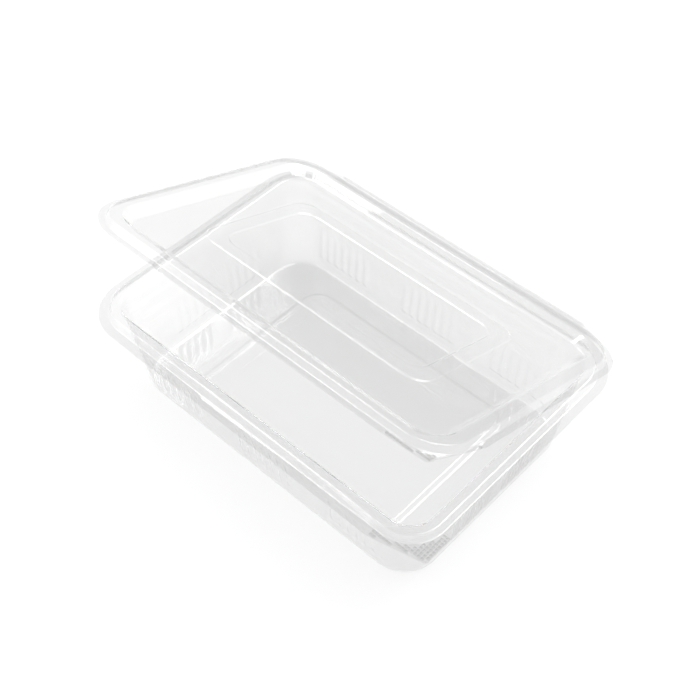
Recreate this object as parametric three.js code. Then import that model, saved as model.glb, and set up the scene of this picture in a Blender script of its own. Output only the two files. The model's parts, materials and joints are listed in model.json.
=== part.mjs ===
// An empty clear takeaway container: one thin formed sheet, folded at the back into a tray and its lid.
// The tray stands on the table and the lid is held open at the angle of the photograph.
// Millimetres, +X to the right, +Y to the back where the hinge is, +Z up.
import * as THREE from 'three';

// Driving dimensions of the container
const LENGTH = 190;
const WIDTH = 134;
const RIM_HEIGHT = 43.5;
const RIM_RADIUS = 21;
const SHEET = 0.5;
const LID_ANGLE = 21.15;

// The rim's raised crest, which both halves have
const CREST_RISE = 3.8;
const TRAY_CREST = { foot: 4.4, outer: 5.3, inner: 9.6 };
const LID_CREST = { foot: 3.6, outer: 4.7, inner: 9.8 };

// The tray's wall, from the rim's inner edge to the foot, as distance in from the flange's edge
const WALL_TOP = { inset: 10.4, drop: 1.2 };
const WALL_FOOT = { inset: 13.6, height: 4.2 };
const FOOT_CORNER = 12;
const FLOOR_EDGE = 17.4;

// Upright flutes pressed into the lower wall
const FLUTE = { pitch: 4.65, depth: 1.9, low: 4.2, full: 19, top: 23 };
const LONG_WALL = { centres: [-52.5, 0, 52.5], count: 7 };
const SHORT_WALL = { centres: [-16, 16], count: 5 };

// The tray's floor: a raised plateau inside a flat foot, and a low panel on the plateau
const PLATEAU = { halfX: 57.5, halfY: 40, corner: 9, rise: 1.5, slope: 1.2 };
const FLOOR_PANEL = { halfX: 47.5, halfY: 27, corner: 8, rise: 0.6, slope: 2 };

// The lid's sunken panel, slightly crowned, and the raised frame on it
const LID_PANEL = { inset: 14.6, level: -1 };
const FRAME_OUTER = { halfX: 59.8, halfY: 33.3, corner: 9 };
const FRAME_INNER = { halfX: 52.1, halfY: 25.7, corner: 7 };
const FRAME_LEVELS = { foot: 0.7, top: 1.2, run: 0.7 };

// The fold line behind the rims, and the strip of sheet that each half gives to it
const FOLD = { behind: 5, aboveRim: 0.5, gap: 0.2 };
const STRIP = { halfLength: 69, slantFrom: 0.7 };
const LID_FLANGE_ABOVE_TRAY = 1.5;

// The finger tabs that fill the front right corner, each with its tip at another place
const TRAY_TAB = { front: 70, tip: [95, 61.3], side: 46 };
const LID_TAB = { front: 68, tip: [87.8, 65.7], side: 39.5 };
const TAB_TIP_RADIUS = 1.4;

// How finely round stretches are divided
const CORNER_STEPS = 8;
const TIP_STEPS = 3;

const HALF_X = LENGTH / 2;
const HALF_Y = WIDTH / 2;
const SIDES = 4;

// A ring is a closed loop of points, each with its place u around the outline, from 0 to 8:
// corner k covers 2k to 2k + 1 and the side that follows it covers 2k + 1 to 2k + 2.
// Corner 0 is at the front right, and the loop runs anticlockwise seen from above.
const CORNER_SIGNS = [[1, -1], [1, 1], [-1, 1], [-1, -1]];

function cornerArc(index, halfX, halfY, radius) {
  const [signX, signY] = CORNER_SIGNS[index];
  const centreX = signX * (halfX - radius);
  const centreY = signY * (halfY - radius);
  const start = (index - 1) * Math.PI / 2;
  const points = [];
  for (let step = 0; step <= CORNER_STEPS; step += 1) {
    const angle = start + (step / CORNER_STEPS) * (Math.PI / 2);
    points.push([centreX + radius * Math.cos(angle), centreY + radius * Math.sin(angle)]);
  }
  return points;
}

// Points of a flute group along a wall: each flute is a flat-bottomed groove between two ridges
function fluteStations({ centres, count }) {
  const stations = [];
  for (const centre of centres) {
    const first = centre - (count * FLUTE.pitch) / 2;
    for (let flute = 0; flute < count; flute += 1) {
      const ridge = first + flute * FLUTE.pitch;
      stations.push([ridge, 0], [ridge + FLUTE.pitch * 0.27, 1], [ridge + FLUTE.pitch * 0.73, 1]);
    }
    stations.push([first + count * FLUTE.pitch, 0]);
  }
  return stations;
}

// The points of the side after corner k, from how far along it and how far in from it they are
function sidePoints(index, halfX, halfY, stations) {
  const reach = index % 2 === 0 ? HALF_Y : HALF_X;
  return stations.map(([along, inward]) => {
    const u = 2 * index + 1.5 + along / (2 * reach);
    if (index === 0) return { x: halfX - inward, y: along, u };
    if (index === 1) return { x: -along, y: halfY - inward, u };
    if (index === 2) return { x: -halfX + inward, y: -along, u };
    return { x: along, y: -halfY + inward, u };
  });
}

function fluteSide(index, halfX, halfY, depth) {
  const wall = index % 2 === 0 ? SHORT_WALL : LONG_WALL;
  const stations = fluteStations(wall).map(([along, share]) => [along, share * depth]);
  return sidePoints(index, halfX, halfY, stations);
}

// One ring of a rounded rectangle. A flute depth, zero included, adds the flutes' points.
function makeRing({ halfX, halfY, corner, z, fluteDepth = null }) {
  const ring = [];
  for (let index = 0; index < SIDES; index += 1) {
    cornerArc(index, halfX, halfY, corner).forEach(([x, y], step) => {
      ring.push({ x, y, z, u: 2 * index + step / CORNER_STEPS });
    });
    if (fluteDepth !== null) {
      const side = fluteSide(index, halfX, halfY, fluteDepth);
      ring.push(...side.map((point) => ({ ...point, z })));
    }
  }
  return ring;
}

// The flange's outer edge: rounded corners, a finger tab, and a hinge strip with slanted ends
function makeEdge({ halfX, halfY, corner, z, tab, stripReach }) {
  const ring = makeRing({ halfX, halfY, corner, z });
  const kept = ring.filter(({ u }) => u > 1 && (u < 2 + STRIP.slantFrom || u > 5 - STRIP.slantFrom));
  const outline = tabOutline(tab);
  const tabPoints = outline.map(([x, y], step) => ({ x, y, z, u: step / (outline.length - 1) }));
  const ends = [[-STRIP.halfLength, -stripReach], [STRIP.halfLength, -stripReach]];
  const stripPoints = sidePoints(1, halfX, halfY, ends).map((point) => ({ ...point, z }));
  return [...tabPoints, ...kept, ...stripPoints].sort((first, second) => first.u - second.u);
}

// A finger tab's outline at the front right corner: two straight edges and a rounded tip
function tabOutline({ front, tip, side }) {
  const start = new THREE.Vector2(front, -HALF_Y);
  const end = new THREE.Vector2(HALF_X, -side);
  const apex = new THREE.Vector2(tip[0], -tip[1]);
  const before = apex.clone().add(start.clone().sub(apex).setLength(TAB_TIP_RADIUS));
  const after = apex.clone().add(end.clone().sub(apex).setLength(TAB_TIP_RADIUS));
  const tipCurve = new THREE.QuadraticBezierCurve(before, apex, after);
  const points = [start, ...tipCurve.getPoints(TIP_STEPS), end];
  return points.map((point) => [point.x, point.y]);
}

// Joins two rings that may have different numbers of points, by walking round both at once
function bridge(faces, ringA, ringB) {
  const place = (ring, index) => (index < ring.length ? ring[index].u : 2 * SIDES);
  let a = 0;
  let b = 0;
  while (a < ringA.length || b < ringB.length) {
    const pointA = ringA[a % ringA.length].id;
    const pointB = ringB[b % ringB.length].id;
    const middleA = place(ringA, a) + place(ringA, a + 1);
    const middleB = place(ringB, b) + place(ringB, b + 1);
    if (b < ringB.length && (a >= ringA.length || middleB <= middleA)) {
      b += 1;
      faces.push(pointA, pointB, ringB[b % ringB.length].id);
    } else {
      a += 1;
      faces.push(pointA, pointB, ringA[a % ringA.length].id);
    }
  }
}

// A closed shell: rings from the middle of the top face, over the edge, to the middle underneath
function closedShell(rings) {
  const positions = [];
  const faces = [];
  for (const ring of rings) {
    for (const point of ring) {
      point.id = positions.length / 3;
      positions.push(point.x, point.y, point.z);
    }
  }
  rings.slice(1).forEach((ring, index) => bridge(faces, rings[index], ring));
  for (const [ring, isTop] of [[rings[0], true], [rings[rings.length - 1], false]]) {
    const middle = positions.length / 3;
    positions.push(0, 0, ring[0].z);
    ring.forEach((point, index) => {
      const next = ring[(index + 1) % ring.length].id;
      faces.push(middle, isTop ? point.id : next, isTop ? next : point.id);
    });
  }
  const geometry = new THREE.BufferGeometry();
  geometry.setAttribute('position', new THREE.Float32BufferAttribute(positions, 3));
  geometry.setIndex(faces);
  geometry.computeVertexNormals();
  return geometry;
}

// The underside of a profile row: its point moved by the sheet's thickness, square to the surface
function undersideRow(rows, index) {
  const row = rows[index];
  const before = rows[Math.max(index - 1, 0)];
  const after = rows[Math.min(index + 1, rows.length - 1)];
  const direction = (from, to) => new THREE.Vector2(from.halfX - to.halfX, to.z - from.z).normalize();
  const normalOf = (way) => new THREE.Vector2(way.y, -way.x);
  const normalIn = normalOf(direction(before === row ? row : before, before === row ? after : row));
  const normalOut = normalOf(direction(after === row ? before : row, after === row ? row : after));
  const miter = normalIn.clone().add(normalOut).normalize();
  const reach = SHEET / Math.max(miter.dot(normalIn), 0.5);
  const outward = -miter.x * reach;
  return {
    ...row,
    halfX: row.halfX + outward,
    halfY: row.halfY + outward,
    corner: Math.max(row.corner + outward, 0.5),
    z: row.z + miter.y * reach,
  };
}

// A formed half: its top rows run from the flange's edge inwards to the middle
function formedSheet(rows) {
  const ringOf = (row) => (row.tab ? makeEdge(row) : makeRing(row));
  const top = rows.map(ringOf).reverse();
  const underneath = rows.map((row, index) => ringOf(undersideRow(rows, index)));
  return closedShell([...top, ...underneath]);
}

function rimRow(inset, z, extra = {}) {
  return { halfX: HALF_X - inset, halfY: HALF_Y - inset, corner: RIM_RADIUS - inset, z, ...extra };
}

function wallRow(height, fluteDepth) {
  const share = (RIM_HEIGHT - WALL_TOP.drop - height) / (RIM_HEIGHT - WALL_TOP.drop - WALL_FOOT.height);
  const inset = THREE.MathUtils.lerp(WALL_TOP.inset, WALL_FOOT.inset, share);
  const corner = THREE.MathUtils.lerp(RIM_RADIUS - WALL_TOP.inset, FOOT_CORNER, share);
  return { halfX: HALF_X - inset, halfY: HALF_Y - inset, corner, z: height, fluteDepth };
}

function panelRows({ halfX, halfY, corner, rise, slope }, level) {
  return [
    { halfX, halfY, corner, z: level },
    { halfX: halfX - slope, halfY: halfY - slope, corner: corner - slope, z: level + rise },
  ];
}

const tabbedEdge = (tab) => ({ tab, stripReach: FOLD.behind - FOLD.gap });

function trayRows() {
  const crest = RIM_HEIGHT + CREST_RISE;
  const filletMiddle = (WALL_FOOT.inset + FLOOR_EDGE) / 2 - 0.7;
  return [
    rimRow(0, RIM_HEIGHT, tabbedEdge(TRAY_TAB)),
    rimRow(TRAY_CREST.foot, RIM_HEIGHT),
    rimRow(TRAY_CREST.outer, crest),
    rimRow(TRAY_CREST.inner, crest),
    rimRow(WALL_TOP.inset, RIM_HEIGHT - WALL_TOP.drop),
    wallRow(FLUTE.top, 0),
    wallRow(FLUTE.full, FLUTE.depth),
    wallRow(FLUTE.low, FLUTE.depth),
    rimRow(filletMiddle, SHEET + 1.1, { corner: FOOT_CORNER - 1, fluteDepth: FLUTE.depth / 2 }),
    rimRow(FLOOR_EDGE, SHEET, { corner: FOOT_CORNER - 2 }),
    ...panelRows(PLATEAU, SHEET),
    ...panelRows(FLOOR_PANEL, SHEET + PLATEAU.rise),
  ];
}

// The lid's rows are heights over its own flange, as it lies when shut
function lidRows() {
  const { foot, top, run } = FRAME_LEVELS;
  const frameRow = ({ halfX, halfY, corner }, inward, z) => (
    { halfX: halfX - inward, halfY: halfY - inward, corner: corner - inward, z }
  );
  return [
    rimRow(0, 0, tabbedEdge(LID_TAB)),
    rimRow(LID_CREST.foot, 0),
    rimRow(LID_CREST.outer, CREST_RISE),
    rimRow(LID_CREST.inner, CREST_RISE),
    rimRow(LID_PANEL.inset, LID_PANEL.level),
    frameRow(FRAME_OUTER, 0, foot),
    frameRow(FRAME_OUTER, run, top),
    frameRow(FRAME_INNER, -run, top),
    frameRow(FRAME_INNER, 0, foot),
  ];
}

function clearPlastic(opacity) {
  return new THREE.MeshStandardMaterial({
    color: 0xf2f4f5,
    roughness: 0.08,
    metalness: 0,
    transparent: true,
    opacity,
  });
}

function makeTray() {
  const tray = new THREE.Mesh(formedSheet(trayRows()), clearPlastic(0.3));
  tray.name = 'tray';
  return tray;
}

// The lid hangs in a group that turns on the fold line
function makeLid() {
  const fold = new THREE.Vector3(0, HALF_Y + FOLD.behind, RIM_HEIGHT + FOLD.aboveRim);
  const flangeHeight = RIM_HEIGHT + LID_FLANGE_ABOVE_TRAY;
  const lid = new THREE.Mesh(formedSheet(lidRows()), clearPlastic(0.3));
  lid.name = 'lid';
  lid.position.set(0, -fold.y, flangeHeight - fold.z);
  const hinge = new THREE.Group();
  hinge.position.copy(fold);
  hinge.rotation.x = -THREE.MathUtils.degToRad(LID_ANGLE);
  hinge.add(lid);
  return hinge;
}

const container = new THREE.Group();
container.add(makeTray(), makeLid());

// The origin is on the table under the middle of the whole, lid and all
container.updateMatrixWorld(true);
const middle = new THREE.Box3().setFromObject(container, true).getCenter(new THREE.Vector3());
container.position.set(-middle.x, -middle.y, 0);
container.updateMatrixWorld(true);

export default container;
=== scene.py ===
import json
import math
import bpy
import bmesh
from mathutils import Matrix, Vector


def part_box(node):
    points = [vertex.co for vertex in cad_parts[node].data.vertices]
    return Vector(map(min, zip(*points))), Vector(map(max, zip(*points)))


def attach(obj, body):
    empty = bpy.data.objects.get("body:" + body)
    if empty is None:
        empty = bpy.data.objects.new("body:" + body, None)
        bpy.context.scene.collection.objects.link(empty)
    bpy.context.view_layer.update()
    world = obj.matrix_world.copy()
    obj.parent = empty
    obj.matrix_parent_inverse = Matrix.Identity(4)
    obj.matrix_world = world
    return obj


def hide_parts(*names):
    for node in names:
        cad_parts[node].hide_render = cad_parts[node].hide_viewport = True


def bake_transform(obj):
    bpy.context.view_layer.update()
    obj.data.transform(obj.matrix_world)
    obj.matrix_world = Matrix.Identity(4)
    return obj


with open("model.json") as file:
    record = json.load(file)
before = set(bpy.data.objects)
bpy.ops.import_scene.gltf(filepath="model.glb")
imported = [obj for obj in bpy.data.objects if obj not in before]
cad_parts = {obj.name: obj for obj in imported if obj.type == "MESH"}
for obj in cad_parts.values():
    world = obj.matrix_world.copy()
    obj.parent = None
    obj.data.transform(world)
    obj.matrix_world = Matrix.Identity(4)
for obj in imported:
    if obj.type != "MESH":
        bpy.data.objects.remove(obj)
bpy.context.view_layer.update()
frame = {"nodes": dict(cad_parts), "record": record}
lid_solid_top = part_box("lid")[1].z
fold = Vector(frame["record"]["behaviour"]["joints"][0]["pos_m"])

# %% [markdown]
# ## The container's measures
# Lengths are written in millimetres and turned into metres by `mm`, because a packaging drawing
# would be in millimetres. The flange is the flat edge all round, and everything else is counted
# inwards from it. The middle of the flange isn't the middle of the whole, because the hinge strip
# sticks out at the back.
#
# %% The measures
mm = 0.001
half_length = 95 * mm
half_width = 67 * mm
flange_corner = 21 * mm
flange_height = 43.5 * mm
lid_lift = 1.5 * mm
sheet = 0.4 * mm
opening_angle = math.radians(21.15)
flange_to_fold = 5 * mm
middle_y = fold.y - half_width - flange_to_fold
print("flange middle at y", round(middle_y, 5), "fold at", tuple(round(v, 4) for v in fold))

# %% [markdown]
# ## How a formed sheet is drawn
# A formed tray can be read as a pile of outlines: each is a rectangle with round corners, a little
# smaller than the last and at another height. A circle of points is laid on the first outline. Its
# loop of edges is then extruded, and the new points go onto the next outline, again and again, as
# if the sheet were drawn down into its mould. Every outline has the same number of points in the
# same order, so the faces between them stay even.
#
# %% Outlines
corner_steps = 24


def outline_points(half_x, half_y, corner, height, long_cuts, short_cuts):
    points = []
    for index, (sign_x, sign_y) in enumerate(((1, -1), (1, 1), (-1, 1), (-1, -1))):
        centre = Vector((sign_x * (half_x - corner), middle_y + sign_y * (half_y - corner), height))
        start = (index - 1) * math.pi / 2
        for step in range(corner_steps + 1):
            angle = start + step / corner_steps * math.pi / 2
            points.append(centre + Vector((corner * math.cos(angle), corner * math.sin(angle), 0)))
        if index % 2 == 0:
            way, cuts = Vector((0, 2 * sign_x * (half_y - corner), 0)), short_cuts
        else:
            way, cuts = Vector((-2 * sign_y * (half_x - corner), 0, 0)), long_cuts
        last = points[-1].copy()
        points += [last + way * ((cut + 1) / (cuts + 1)) for cut in range(cuts)]
    return points


# %% Draw a sheet down through its outlines


def draw_sheet(name, outlines):
    bpy.ops.object.select_all(action="DESELECT")
    bpy.ops.mesh.primitive_circle_add(vertices=len(outlines[0]), radius=half_width)
    piece = bpy.context.object
    piece.name = name
    piece.data.name = name
    for vertex, point in zip(piece.data.vertices, outlines[0]):
        vertex.co = point
    bpy.ops.object.mode_set(mode="EDIT")
    bpy.ops.mesh.select_all(action="SELECT")
    mesh = bmesh.from_edit_mesh(piece.data)
    place = {vertex: index for index, vertex in enumerate(mesh.verts)}
    for outline in outlines[1:]:
        bpy.ops.mesh.extrude_region_move()
        mesh = bmesh.from_edit_mesh(piece.data)
        drawn = {}
        for vertex in mesh.verts:
            if vertex.select:
                sources = (edge.other_vert(vertex) for edge in vertex.link_edges)
                drawn[vertex] = next(place[source] for source in sources if source in place)
        for vertex, index in drawn.items():
            vertex.co = outline[index]
        place = drawn
        bmesh.update_edit_mesh(piece.data)
    bpy.ops.mesh.edge_face_add()
    return piece


# %% [markdown]
# ## Soft bends
# Hot plastic never makes a sharp bend: it leaves a small radius on each one, and those small radii
# are what catch the light as the fine white and dark lines of clear packaging. So each corner of
# the drawn profile is swapped for a few points on a short curve.
#
# %% Soften a profile
bend_steps = 4
bend_share = 0.45
level_drawn = 0.8


def soften(profile):
    """Turns rows of (half_x, half_y, corner, height, bend) in mm into rounded rows in metres."""
    rows = []
    for index, (*here, bend) in enumerate(profile):
        here = Vector(here)
        if bend == 0 or index in (0, len(profile) - 1):
            rows.append(here * mm)
            continue
        before = Vector(profile[index - 1][:4]) - here
        after = Vector(profile[index + 1][:4]) - here
        length_before = math.hypot(before[0], before[3])
        length_after = math.hypot(after[0], after[3])
        arriving = math.atan2(-before[3], -before[0])
        leaving = math.atan2(after[3], after[0])
        turn = abs((leaving - arriving + math.pi) % (2 * math.pi) - math.pi)
        reach = min(bend * math.tan(turn / 2), bend_share * min(length_before, length_after))
        first = here + before * (reach / length_before)
        last = here + after * (reach / length_after)
        for step in range(bend_steps + 1):
            t = step / bend_steps
            rows.append((first * (1 - t) ** 2 + here * (2 * t * (1 - t)) + last * t ** 2) * mm)
    return rows


def mark_drawn(piece, rows, points_each):
    """Stores how thin the sheet was drawn: 0 on the flange, up to 1 where it is steep."""
    shares = [0.0, 0.0]
    for before, after in zip(rows[1:], rows[3:]):
        across, rise = after[0] - before[0], after[3] - before[3]
        steepness = abs(rise) / math.hypot(across, rise)
        shares.append(level_drawn + (1 - level_drawn) * steepness)
    shares.append(level_drawn)
    mesh = bmesh.from_edit_mesh(piece.data)
    drawn = mesh.verts.layers.float.new("drawn")
    for vertex in mesh.verts:
        vertex[drawn] = shares[vertex.index // points_each]
    bmesh.update_edit_mesh(piece.data)


def make_formed_sheet(name, profile, long_cuts, short_cuts):
    rows = soften(profile)
    outlines = [outline_points(*row, long_cuts, short_cuts) for row in rows]
    piece = draw_sheet(name, outlines)
    mark_drawn(piece, rows, len(outlines[0]))
    print(name, "has", len(outlines), "outlines of", len(outlines[0]), "points")
    return piece


# %% [markdown]
# ## The tray's profile
# From the outside in: the flat flange, the raised crest that the lid snaps over, the wall leaning
# in a little so that trays stack, the foot, and the floor with its plateau. Below the crest the
# corners widen towards the foot. The wall has extra outlines where the flutes will be pressed,
# close together where the flutes end.
#
# %% Draw the tray
wall_top = (84.1, 56.1, 11.0, 41.8)
wall_foot = (81.0, 53.0, 16.0, 0.41)
wall_heights = (34, 25, 23.5, 22, 20.5, 19, 17, 14, 10.5, 8.5, 7.2, 6.8, 6.4, 6.0, 5.6, 5.2)


def wall_row(height):
    share = (wall_top[3] - height) / (wall_top[3] - wall_foot[3])
    sizes = [top + (foot - top) * share for top, foot in zip(wall_top[:3], wall_foot[:3])]
    return (*sizes, height, 0)


tray_profile = [
    (95.0, 67.0, 21.0, 43.5, 0),
    (90.6, 62.6, 16.6, 43.5, 0.6),
    (89.6, 61.6, 15.6, 47.2, 1.0),
    (85.0, 57.0, 11.0, 47.2, 1.6),
    (*wall_top, 1.2),
    *[wall_row(height) for height in wall_heights],
    (*wall_foot, 4.6),
    (72.1, 48.2, 13.5, 0.41, 0),
    (65.3, 44.5, 11.6, 0.41, 0),
    (58.6, 41.2, 10.2, 0.41, 1.2),
    (56.6, 39.2, 8.2, 1.9, 1.2),
    (52.2, 33.5, 8.3, 1.9, 0),
    (48.0, 28.0, 8.0, 1.9, 1.5),
    (45.0, 25.0, 6.0, 2.1, 1.5),
    (43.0, 23.0, 4.7, 2.1, 0),
]
tray = make_formed_sheet("tray_sheet", tray_profile, long_cuts=170, short_cuts=100)

# %% [markdown]
# ## Flutes
# A flute is an upright half-round groove pressed into the lower wall. It stiffens the thin wall.
# There are three groups of seven on each long wall and two groups of five on each short one. They
# could be cut out with rods, but a sheet keeps its thickness when it is pressed, so the wall's own
# points are moved inwards instead.
#
# %% Press the flutes in
flute_pitch = 4.65 * mm
flute_depth = 0.8 * mm
flute_roundness = 1.4
flute_foot = 5.4 * mm
flute_step = 1.4 * mm
flute_top = 24.5 * mm
flute_fade = 7 * mm
floor_reach = (60 * mm, 42 * mm)
long_wall_groups = [(-52.5 * mm, 7), (0.0, 7), (52.5 * mm, 7)]
short_wall_groups = [(-16 * mm, 5), (16 * mm, 5)]


def flute_across(along, groups):
    for centre, count in groups:
        place = (along - centre) / flute_pitch + count / 2
        if 0 < place < count:
            return math.sin(math.pi * (place % 1)) ** flute_roundness
    return 0.0


def flute_upright(height):
    """A flute's depth at a height, 0 to 1: a short step at the foot, a long fade at the top."""
    foot = min(1.0, max(0.0, (height - flute_foot) / flute_step))
    top = min(1.0, max(0.0, (flute_top - height) / flute_fade))
    return foot * foot * (3 - 2 * foot) * top * top * (3 - 2 * top)


def press_flutes(piece):
    mesh = bmesh.from_edit_mesh(piece.data)
    for vertex in mesh.verts:
        x, y, z = vertex.co.x, vertex.co.y - middle_y, vertex.co.z
        on_floor = abs(x) < floor_reach[0] and abs(y) < floor_reach[1]
        if on_floor or not flute_foot < z < flute_top:
            continue
        on_long_wall = half_width - abs(y) < half_length - abs(x)
        groups = long_wall_groups if on_long_wall else short_wall_groups
        depth = flute_depth * flute_across(x if on_long_wall else y, groups) * flute_upright(z)
        if on_long_wall:
            vertex.co.y -= math.copysign(depth, y)
        else:
            vertex.co.x -= math.copysign(depth, x)
    bmesh.update_edit_mesh(piece.data)


press_flutes(tray)

# %% [markdown]
# ## Finger tab and hinge strip
# At the front right corner the flange runs out to a point, to be gripped when the lid is opened.
# At the back it runs on as a strip to the fold, with slanted ends. Both are flat, so only the
# outermost row of points is moved: each goes out along its own ray until it meets the new edge.
#
# %% Shape the flange's edge
strip_reach = 3.8 * mm
strip_half = 69 * mm
strip_start = (84.5 * mm, 64.2 * mm)
strip_from = 60 * mm
tab_run = 6 * mm
tip_steps = 5
strip_inner = (66 * mm, 40 * mm)
level_margin = 0.01 * mm
parallel_margin = 1e-12
end_margin = 1e-6
tab_corner = Vector((half_length - flange_corner, flange_corner - half_width))


def rounded_tip(start, tip, end, radius):
    start, tip, end = Vector(start), Vector(tip), Vector(end)
    first = tip + (start - tip).normalized() * radius
    last = tip + (end - tip).normalized() * radius
    curve = []
    for step in range(tip_steps + 1):
        t = step / tip_steps
        curve.append(first * (1 - t) ** 2 + tip * (2 * t * (1 - t)) + last * t ** 2)
    return [start, *curve, end]


def meet(origin, way, outline):
    """The farthest place where a ray from origin meets the outline, or None."""
    hits = []
    for start, end in zip(outline, outline[1:]):
        side = end - start
        cross = way.x * side.y - way.y * side.x
        if abs(cross) < parallel_margin:
            continue
        gap = start - origin
        far = (gap.x * side.y - gap.y * side.x) / cross
        share = (gap.x * way.y - gap.y * way.x) / cross
        if far > 0 and -end_margin <= share <= 1 + end_margin:
            hits.append(far)
    return origin + way * max(hits) if hits else None


def shape_edge(piece, height, tab_outline):
    strip_outline = [Vector(point) for point in (
        strip_start, (strip_half, half_width + strip_reach),
        (-strip_half, half_width + strip_reach), (-strip_start[0], strip_start[1]))]
    mesh = bmesh.from_edit_mesh(piece.data)
    for vertex in mesh.verts:
        if not vertex.is_boundary or abs(vertex.co.z - height) > level_margin:
            continue
        here = Vector((vertex.co.x, vertex.co.y - middle_y))
        target = None
        if here.x > tab_corner.x - tab_run and here.y < 0:
            target = meet(tab_corner, here - tab_corner, tab_outline)
        elif here.y > strip_from:
            inner = Vector((max(-strip_inner[0], min(strip_inner[0], here.x)), strip_inner[1]))
            target = meet(inner, here - inner, strip_outline)
        if target is not None:
            vertex.co.x = target.x
            vertex.co.y = target.y + middle_y
    bmesh.update_edit_mesh(piece.data)


tray_tab = rounded_tip(
    start=(70 * mm, -67 * mm), tip=(95 * mm, -61.3 * mm), end=(95 * mm, -46 * mm),
    radius=1.2 * mm)
shape_edge(tray, flange_height, tray_tab)

# %% [markdown]
# ## Thickness
# The sheet so far has no thickness. Solidify gives it 0.4 mm below the drawn surface, evenly round
# the bends. Clear plastic needs this: light has to go in at one face and out at the other.
#
# %% Give the sheet its thickness
smooth_angle = math.radians(50)


def finish_sheet(piece, up):
    bpy.ops.mesh.select_all(action="SELECT")
    bpy.ops.mesh.normals_make_consistent(inside=False)
    mesh = bmesh.from_edit_mesh(piece.data)
    widest = max(mesh.faces, key=lambda face: face.calc_area())
    if widest.normal.dot(up) < 0:
        bpy.ops.mesh.flip_normals()
    bpy.ops.object.mode_set(mode="OBJECT")
    thicken = piece.modifiers.new("sheet", "SOLIDIFY")
    thicken.thickness = sheet
    thicken.offset = -1
    thicken.use_even_offset = True
    bpy.ops.object.modifier_apply(modifier=thicken.name)
    bpy.ops.object.shade_smooth_by_angle(angle=smooth_angle)
    print(piece.name, "faces", len(piece.data.polygons))


finish_sheet(tray, Vector((0, 0, 1)))

# %% [markdown]
# ## Grip on the finger tabs
# Both finger tabs are knurled, so that wet fingers can pull them apart: the mould has rows of small
# pyramids there. One four-sided cone is repeated in rows both ways, and those that don't stand
# wholly on the tab are taken away. They are sunk a little into the sheet, as they are one with it.
#
# %% Raise the pyramids
knurl_pitch = 1.6 * mm
knurl_half = 0.68 * mm
knurl_rise = 0.4 * mm
knurl_sink = 0.1 * mm
knurl_rows = 22
tray_crest_corner = 16.8 * mm
lid_crest_corner = 18.3 * mm
pyramid_points = 5
knurled_slot = 1


def is_inside(x, y, outline):
    crossings = 0
    for start, end in zip(outline, outline[1:] + outline[:1]):
        if (start.y > y) != (end.y > y):
            crossings += x < start.x + (y - start.y) / (end.y - start.y) * (end.x - start.x)
    return crossings % 2 == 1


def is_on_tab(point, tab_outline, crest_corner):
    x, y = point.x, point.y - middle_y
    from_corner = math.hypot(max(0, x - tab_corner.x), max(0, tab_corner.y - y))
    return from_corner > crest_corner and is_inside(x, y, [*tab_outline, tab_corner])


def repeat_pyramid(start):
    bpy.ops.object.select_all(action="DESELECT")
    bpy.ops.mesh.primitive_cone_add(
        vertices=4, radius1=knurl_half * math.sqrt(2), depth=knurl_rise + knurl_sink,
        location=start, rotation=(0, 0, math.pi / 4))
    grip = bpy.context.object
    bpy.ops.object.transform_apply(location=True, rotation=True)
    for step in ((knurl_pitch, 0, 0), (0, knurl_pitch, 0)):
        repeat = grip.modifiers.new("rows", "ARRAY")
        repeat.count = knurl_rows
        repeat.use_relative_offset = False
        repeat.use_constant_offset = True
        repeat.constant_offset_displace = step
        bpy.ops.object.modifier_apply(modifier=repeat.name)
    return grip


def keep_whole_pyramids(grip, tab_outline, crest_corner):
    bpy.ops.object.mode_set(mode="EDIT")
    bpy.ops.mesh.select_all(action="DESELECT")
    mesh = bmesh.from_edit_mesh(grip.data)
    points = list(mesh.verts)
    for first in range(0, len(points), pyramid_points):
        pyramid = points[first:first + pyramid_points]
        if not all(is_on_tab(point.co, tab_outline, crest_corner) for point in pyramid):
            for point in pyramid:
                point.select = True
    mesh.select_flush(True)
    bpy.ops.mesh.delete(type="VERT")
    bpy.ops.object.mode_set(mode="OBJECT")


# %% Join them to the sheet


def knurl_tab(piece, tab_outline, crest_corner, height, turn):
    middle_height = height + (knurl_rise - knurl_sink) / 2
    grip = repeat_pyramid((tab_outline[0].x, middle_y - half_width, middle_height))
    keep_whole_pyramids(grip, tab_outline, crest_corner)
    grip.data.transform(turn)
    print(piece.name, "pyramids", len(grip.data.vertices) // pyramid_points)
    plain_faces = len(piece.data.polygons)
    piece.select_set(True)
    bpy.context.view_layer.objects.active = piece
    bpy.ops.object.join()
    for face in piece.data.polygons[plain_faces:]:
        face.material_index = knurled_slot


knurl_tab(tray, tray_tab, tray_crest_corner, flange_height, Matrix())

# %% [markdown]
# ## The lid
# The lid has the same flange and crest, but its middle is only sunk a little, with a slope all
# round and a raised frame that keeps the flat middle from drumming. It is drawn shut, in the
# tray's measures, because that is how its mould is drawn.
#
# %% Draw the lid shut
lid_height = flange_height / mm + lid_lift / mm
lid_profile = [
    (95.0, 67.0, 21.0, lid_height, 0),
    (92.1, 64.1, 18.1, lid_height, 0.6),
    (90.8, 62.8, 16.8, lid_height + 3.1, 1.0),
    (85.4, 57.5, 11.4, lid_height + 3.1, 1.4),
    (80.8, 54.2, 8.5, lid_height - 1.0, 0.9),
    (75.3, 47.5, 7.9, lid_height - 0.55, 0),
    (70.2, 42.9, 8.3, lid_height - 0.15, 0),
    (65.0, 38.0, 8.7, lid_height + 0.25, 0),
    (59.8, 33.3, 9.0, lid_height + 0.7, 0.5),
    (59.3, 32.8, 8.5, lid_height + 1.2, 0.5),
    (52.6, 26.2, 7.5, lid_height + 1.2, 0.5),
    (52.1, 25.7, 7.0, lid_height + 0.7, 0.5),
    (50.1, 23.7, 5.0, lid_height + 0.7, 0),
]
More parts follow.
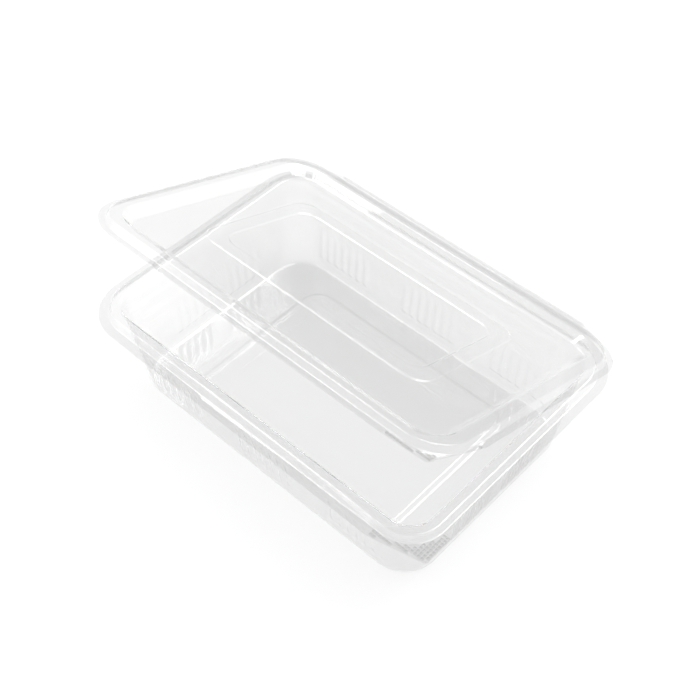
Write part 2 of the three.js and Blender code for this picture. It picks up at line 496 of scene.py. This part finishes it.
lid = make_formed_sheet("lid_sheet", lid_profile, long_cuts=40, short_cuts=24)
lid_tab = rounded_tip(
    start=(68 * mm, -67 * mm), tip=(87.8 * mm, -65.7 * mm), end=(95 * mm, -39.5 * mm),
    radius=1.5 * mm)
shape_edge(lid, flange_height + lid_lift, lid_tab)

# %% [markdown]
# ## Open the lid
# The whole lid turns about the fold line by the angle at which the photograph holds it. Without a
# window the rotate operator turns the other way round, so the turned lid's top is printed beside
# the solid lid's top, which shows the angle's sign.
#
# %% Turn the lid on the fold
bpy.ops.mesh.select_all(action="SELECT")
bpy.ops.transform.rotate(
    value=opening_angle, orient_axis="X", orient_type="GLOBAL", center_override=fold)
lid_turn = Matrix.Rotation(-opening_angle, 3, "X")
finish_sheet(lid, lid_turn @ Vector((0, 0, 1)))
about_fold = Matrix.Translation(fold) @ lid_turn.to_4x4() @ Matrix.Translation(-fold)
knurl_tab(lid, lid_tab, lid_crest_corner, flange_height + lid_lift, about_fold)
lid_top = max((vertex.co.z for vertex in lid.data.vertices))
print("lid top", round(lid_top, 5), "solid lid top", round(lid_solid_top, 5))

# %% [markdown]
# ## The fold
# Between the two hinge strips the sheet bends round in a tight curve about a millimetre across. In
# the real container it bends when the lid moves; here it is a piece of its own, shaped for the open
# lid, that meets the tray at one end and the lid at the other. One edge of a plane is extruded step
# by step along the curve.
#
# %% Bend the fold's web
fold_gap = 1.2 * mm
strip_over_fold = 1.0 * mm
web_start = Vector((0, fold.y - fold_gap, flange_height))
web_end = fold + lid_turn @ Vector((0, -fold_gap, strip_over_fold))
web_bulge = 0.95 * mm
web_steps = 14


def web_point(t):
    lift = Vector((0, web_bulge, 0))
    leave = web_start + lift
    arrive = web_end - lid_turn @ Vector((0, -web_bulge, 0))
    ends = web_start * (1 - t) ** 3 + web_end * t ** 3
    return ends + leave * (3 * t * (1 - t) ** 2) + arrive * (3 * t * t * (1 - t))


def make_web():
    bpy.ops.object.select_all(action="DESELECT")
    bpy.ops.mesh.primitive_plane_add(size=1)
    piece = bpy.context.object
    piece.name = "fold_web"
    piece.data.name = "fold_web"
    bpy.ops.object.mode_set(mode="EDIT")
    points = [web_point(step / web_steps) for step in range(web_steps + 1)]
    mesh = bmesh.from_edit_mesh(piece.data)
    for vertex in mesh.verts:
        end = points[0] if vertex.co.y < 0 else points[1]
        vertex.co = Vector((math.copysign(strip_half, vertex.co.x), end.y, end.z))
        vertex.select = end is points[1]
    mesh.select_flush(False)
    mesh.select_flush(True)
    bmesh.update_edit_mesh(piece.data)
    for here, there in zip(points[1:], points[2:]):
        bpy.ops.mesh.extrude_region_move(TRANSFORM_OT_translate={"value": there - here})
    return piece


web = make_web()
finish_sheet(web, Vector((0, -1, 0)))

# %% [markdown]
# ## Clear plastic
# The sheet is nearly colourless, lets most light through and takes away a little of it, so that
# two layers look greyer than one. Its faces are glossy, with a very faint waviness from the mould.
# The forming draws it thin where it is deep and leaves it thick on the flange, so the tint follows
# how far it was drawn. Where the sheet is seen at a slant its colour is darkened: partly the loss
# of light on the longer way through it, partly painted shade that draws dark lines along edge-on
# bends and on the sides of the knurl's pyramids.
#
# With the full bending power of plastic, the thin sheet guides light along itself like a fibre, and
# its bends come out as black lines that the photograph doesn't have. So the body bends light only
# a little, and a clear coat over it gives the full gloss of plastic. Rays that only carry light
# from lamps pass straight through, which keeps the shadow pale.
#
# %% The sheet's tint
undrawn_tint = (0.905, 0.905, 0.905)
drawn_tint = (0.99, 0.99, 0.99)


def add_node(tree, kind, **values):
    node = tree.nodes.new(kind)
    for name, value in values.items():
        if hasattr(node, name):
            setattr(node, name, value)
        else:
            node.inputs[name.replace("_", " ")].default_value = value
    return node


def tint_of_sheet(tree, slant_tint_and_shade):
    """The tint goes from undrawn to drawn sheet, then darkens where the sheet is seen at a slant:
    partly light lost on the longer way through it, partly painted shade for dark edge lines.
    """
    link = tree.links.new
    drawn = add_node(tree, "ShaderNodeAttribute", attribute_name="drawn")
    tint = add_node(tree, "ShaderNodeMix", data_type="RGBA")
    tint.inputs[6].default_value = (*undrawn_tint, 1)
    tint.inputs[7].default_value = (*drawn_tint, 1)
    facing = add_node(tree, "ShaderNodeLayerWeight", Blend=0.5)
    # Darker at a slant: partly light lost on a longer way, partly painted shade for dark edge
    # lines.
    slanting = add_node(tree, "ShaderNodeMapRange", From_Min=0.2, From_Max=0.5)
    longer_way_and_shade = add_node(tree, "ShaderNodeMix", data_type="RGBA")
    longer_way_and_shade.inputs[7].default_value = (*slant_tint_and_shade, 1)
    link(drawn.outputs["Fac"], tint.inputs["Factor"])
    link(facing.outputs["Facing"], slanting.inputs["Value"])
    link(slanting.outputs["Result"], longer_way_and_shade.inputs["Factor"])
    link(tint.outputs[2], longer_way_and_shade.inputs[6])
    return longer_way_and_shade.outputs[2]


# %% The gloss and the way lamps shine through
shadow_tint = (0.957, 0.957, 0.957)


def make_clear_plastic(name, slant_tint_and_shade):
    plastic = bpy.data.materials.new(name)
    plastic.use_nodes = True
    tree = plastic.node_tree
    tree.nodes.clear()
    link = tree.links.new
    place = add_node(tree, "ShaderNodeTexCoord")
    waves = add_node(tree, "ShaderNodeTexNoise", Scale=38.0, Detail=2.0)
    ripple = add_node(tree, "ShaderNodeBump", Strength=0.05, Distance=0.002)
    haze = add_node(tree, "ShaderNodeTexNoise", Scale=90.0, Detail=3.0)
    haze_range = add_node(tree, "ShaderNodeMapRange", To_Min=0.015, To_Max=0.06)
    clear = add_node(tree, "ShaderNodeBsdfPrincipled", IOR=1.035)
    clear.inputs["Coat Weight"].default_value = 1.0
    clear.inputs["Coat IOR"].default_value = 1.5
    clear.inputs["Coat Roughness"].default_value = 0.03
    clear.inputs["Transmission Weight"].default_value = 1.0
    through = add_node(tree, "ShaderNodeBsdfTransparent")
    through.inputs["Color"].default_value = (*shadow_tint, 1)
    rays = add_node(tree, "ShaderNodeLightPath")
    lamp_or_floor = add_node(tree, "ShaderNodeMath", operation="MAXIMUM")
    choose = add_node(tree, "ShaderNodeMixShader")
    output = add_node(tree, "ShaderNodeOutputMaterial")
    link(place.outputs["Object"], waves.inputs["Vector"])
    link(place.outputs["Object"], haze.inputs["Vector"])
    link(waves.outputs["Fac"], ripple.inputs["Height"])
    link(haze.outputs["Fac"], haze_range.inputs["Value"])
    link(haze_range.outputs["Result"], clear.inputs["Roughness"])
    link(tint_of_sheet(tree, slant_tint_and_shade), clear.inputs["Base Color"])
    link(ripple.outputs["Normal"], clear.inputs["Normal"])
    link(ripple.outputs["Normal"], clear.inputs["Coat Normal"])
    link(rays.outputs["Is Shadow Ray"], lamp_or_floor.inputs[0])
    link(rays.outputs["Is Diffuse Ray"], lamp_or_floor.inputs[1])
    link(lamp_or_floor.outputs[0], choose.inputs["Fac"])
    link(clear.outputs["BSDF"], choose.inputs[1])
    link(through.outputs["BSDF"], choose.inputs[2])
    link(choose.outputs["Shader"], output.inputs["Surface"])
    return plastic


# %% Put the plastic on
clear_plastic = make_clear_plastic("clear_plastic", slant_tint_and_shade=(0.92, 0.92, 0.92))
# The knurl darkens much more where it is seen at a slant: painted shade on the pyramids' sides.
knurled_plastic_painted_shade = make_clear_plastic("knurled_plastic_painted_shade", slant_tint_and_shade=(0.62, 0.62, 0.62))
for piece in (tray, lid, web):
    piece.data.materials.append(clear_plastic)
for piece in (tray, lid):
    piece.data.materials.append(knurled_plastic_painted_shade)
    count = sum(face.material_index == knurled_slot for face in piece.data.polygons)
    print(piece.name, "knurled faces", count)
for node in frame["nodes"].values():
    node.data.materials.clear()
    node.data.materials.append(clear_plastic)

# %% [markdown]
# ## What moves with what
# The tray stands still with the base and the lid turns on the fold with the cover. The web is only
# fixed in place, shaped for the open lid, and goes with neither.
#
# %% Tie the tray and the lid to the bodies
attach(tray, "base")
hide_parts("tray")
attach(lid, "cover")
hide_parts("lid")
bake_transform(web)

# %% [markdown]
# ## The table
# The photograph has a plain white ground with hardly any shadow. A wide plane stands in for it.
#
# %% Lay the ground
bpy.ops.object.select_all(action="DESELECT")
ground_size = 12
ground_gap = 0.2 * mm
bpy.ops.mesh.primitive_plane_add(size=ground_size, location=(0, 0, -ground_gap))
ground = bpy.context.object
ground.name = "ground"
ground_white = bpy.data.materials.new("ground_white")
ground_white.use_nodes = True
ground_shader = ground_white.node_tree.nodes["Principled BSDF"]
ground_shader.inputs["Base Color"].default_value = (0.9, 0.9, 0.9, 1)
ground_shader.inputs["Roughness"].default_value = 0.9
ground_shader.inputs["Specular IOR Level"].default_value = 0.1
ground.data.materials.append(ground_white)

# %% [markdown]
# ## Light
# Clear things are lit by what surrounds them. The room is greyer overhead, so that level surfaces
# stay clear, and brighter towards the horizon, which draws the edges. Three softboxes hang where
# the bends mirror them: overhead and on the left for the bends along the length, at the back for
# those across it. They draw the fine white lines. A wide soft lamp from the back fills the ground.
#
# %% Light the room
scene = bpy.context.scene
room = bpy.data.worlds.new("room")
scene.world = room
room.use_nodes = True
sky = room.node_tree
sky.nodes.clear()
direction = add_node(sky, "ShaderNodeTexCoord")
upwards = add_node(sky, "ShaderNodeSeparateXYZ")
shade = add_node(sky, "ShaderNodeValToRGB")
levels = [(0.0, 0.75), (0.12, 0.60), (0.24, 0.50), (0.45, 0.30), (1.0, 0.35)]
while len(shade.color_ramp.elements) < len(levels):
    shade.color_ramp.elements.new(0.5)
for stop, (place, level) in zip(shade.color_ramp.elements, levels):
    stop.position = place
    stop.color = (level, level, level, 1)
glow = add_node(sky, "ShaderNodeBackground", Strength=1.0)
sky_output = add_node(sky, "ShaderNodeOutputWorld")
sky.links.new(direction.outputs["Generated"], upwards.inputs["Vector"])
sky.links.new(upwards.outputs["Z"], shade.inputs["Fac"])
sky.links.new(shade.outputs["Color"], glow.inputs["Color"])
sky.links.new(glow.outputs["Background"], sky_output.inputs["Surface"])

# %% Hang the softboxes
lamp_distance = 1.3


def hang_softbox(name, way, size, radiance):
    """A rectangular lamp in the direction way, aimed at the container."""
    way = Vector(way).normalized()
    lamp_data = bpy.data.lights.new(name, "AREA")
    lamp_data.shape = "RECTANGLE"
    lamp_data.size, lamp_data.size_y = size
    lamp_data.energy = radiance * math.pi * size[0] * size[1]
    lamp = bpy.data.objects.new(name, lamp_data)
    scene.collection.objects.link(lamp)
    lamp.location = way * lamp_distance
    lamp.rotation_euler = (-way).to_track_quat("-Z", "Y").to_euler()
    return lamp


hang_softbox("top_softbox", way=(-0.44, 0.05, 0.90), size=(0.5, 0.30), radiance=5.0)
hang_softbox("left_softbox", way=(-0.44, -0.42, 0.79), size=(0.95, 0.42), radiance=2.6)
hang_softbox("back_softbox", way=(0.18, 0.50, 0.84), size=(0.5, 0.5), radiance=5.0)

# %% The wide lamp from the back
fill_data = bpy.data.lights.new("wide_fill", "SUN")
fill_data.energy = 1.55
fill_data.angle = math.radians(50)
fill = bpy.data.objects.new("wide_fill", fill_data)
scene.collection.objects.link(fill)
fill.rotation_euler = Vector((-0.28, -0.45, -0.85)).to_track_quat("-Z", "Y").to_euler()

# %% [markdown]
# ## Camera
# The view looks down from the front right. Its direction, distance and lens were found by fitting
# the rims' corners and straight edges to the photograph, so they are kept as fitted. The focal
# length is in pixels of the picture, and the lens wants millimetres of its sensor.
#
# %% Place the camera
turn = math.radians(42.630)
height_angle = math.radians(49.292)
outwards = math.cos(height_angle)
back = Vector((math.sin(turn) * outwards, -math.cos(turn) * outwards, math.sin(height_angle)))
right = Vector((math.cos(turn), math.sin(turn), 0))
up = back.cross(right)
rim_middle = Vector((0, middle_y, flange_height))
picture_width = 700
focal_length = 1268.49
sensor_width = 36
distance = 0.531457
aside, below = 0.000744, 0.005267
camera_data = bpy.data.cameras.new("camera")
camera_data.lens = sensor_width * focal_length / picture_width
camera_data.sensor_width = sensor_width
camera = bpy.data.objects.new("camera", camera_data)
scene.collection.objects.link(camera)
camera_place = rim_middle + back * distance + right * aside - up * below
facing_back = Matrix((right, up, back)).transposed().to_4x4()
camera.matrix_world = Matrix.Translation(camera_place) @ facing_back
scene.camera = camera

# %% [markdown]
# ## Colour and light paths
# Light crosses many layers of sheet here, so the paths through clear surfaces are allowed to be
# long. The plain colour transform keeps the white ground white.
#
# %% Set the paths and colours
scene.view_settings.view_transform = "Standard"
scene.cycles.max_bounces = 32
scene.cycles.transmission_bounces = 24
scene.cycles.transparent_max_bounces = 24
scene.cycles.glossy_bounces = 24
